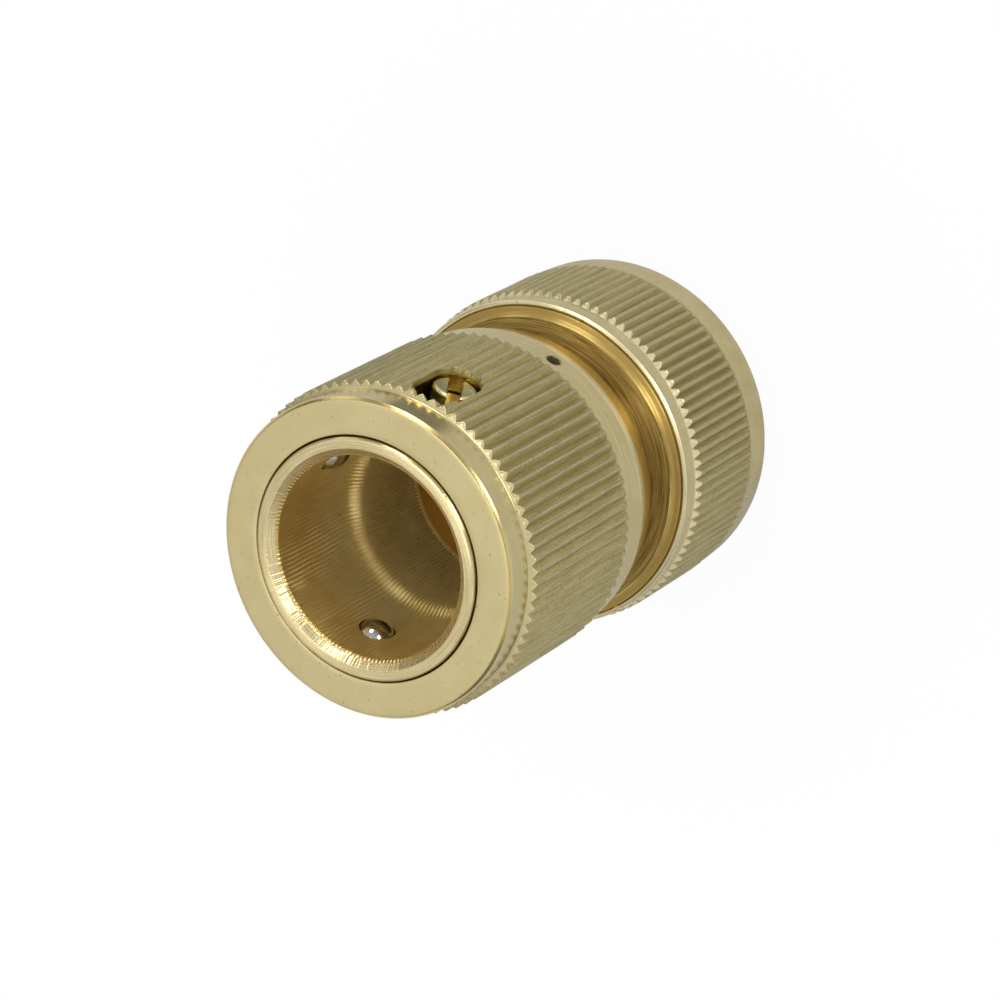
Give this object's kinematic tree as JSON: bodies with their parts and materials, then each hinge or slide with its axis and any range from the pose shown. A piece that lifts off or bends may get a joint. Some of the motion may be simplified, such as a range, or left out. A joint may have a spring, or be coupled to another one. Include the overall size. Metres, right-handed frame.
{
  "type": "brass tap connector",
  "caption": "Brass quick-release hose socket with a knurled sliding collar, locking balls, stop screw, spring, hose tail and knurled clamping nut.",
  "frame": {"origin": "centre of the clamping nut's hose end face, on the connector's axis, which is also the bottom of the standing part", "axes": "+Z along the connector's axis from the hose end towards the socket's mouth; +X is 40 degrees clockwise, seen from the mouth, of the stop screw"},
  "size_m": [0.0302, 0.0302, 0.0448],
  "materials": {
    "turned_brass": "turned, bright, with fine concentric tool marks",
    "tumbled_brass": "satin, slightly tarnished",
    "polished_steel": "polished",
    "spring_steel": "drawn wire",
    "moulded_acetal": "moulded, satin"
  },
  "bodies": {
    "body": {"coupling_body": "turned_brass", "stop_screw": "turned_brass", "collar_spring": "spring_steel"},
    "collar": {"lock_collar": "tumbled_brass"},
    "ball_1": {"lock_ball_1": "polished_steel"},
    "ball_2": {"lock_ball_2": "polished_steel"},
    "ball_3": {"lock_ball_3": "polished_steel"},
    "grip": {"hose_grip_ring": "moulded_acetal"},
    "nut": {"clamp_nut": "tumbled_brass"}
  },
  "joints": [
    {"name": "collar_slide", "type": "slide", "parent": "body", "child": "collar", "axis": [0, 0, -1], "range_m": [0, 0.003], "stiffness_N_per_m": 2000, "springref_m": -0.004, "deforming": ["collar_spring"]},
    {"name": "ball_1_slide", "type": "slide", "parent": "body", "child": "ball_1", "axis": [-0.1736, 0.9848, 0], "range_m": [0, 0.00086]},
    {"name": "ball_2_slide", "type": "slide", "parent": "body", "child": "ball_2", "axis": [-0.766, -0.6428, 0], "range_m": [0, 0.00086]},
    {"name": "ball_3_slide", "type": "slide", "parent": "body", "child": "ball_3", "axis": [0.9397, -0.342, 0], "range_m": [0, 0.00086]},
    {"name": "nut_travel", "type": "slide", "parent": "body", "child": "grip", "axis": [0, 0, -1], "range_m": [0, 0.0038]},
    {"name": "nut_turn", "type": "hinge", "parent": "grip", "child": "nut", "pos_m": [0, 0, 0.008], "axis": [0, 0, -1], "range_deg": [0, 900]}
  ],
  "couplings": [
    {"joint": "ball_1_slide", "follows": "collar_slide", "ratio": 0.28333},
    {"joint": "ball_2_slide", "follows": "collar_slide", "ratio": 0.28333},
    {"joint": "ball_3_slide", "follows": "collar_slide", "ratio": 0.28333},
    {"joint": "nut_travel", "follows": "nut_turn", "m_per_rad": 0.00023873}
  ]
}
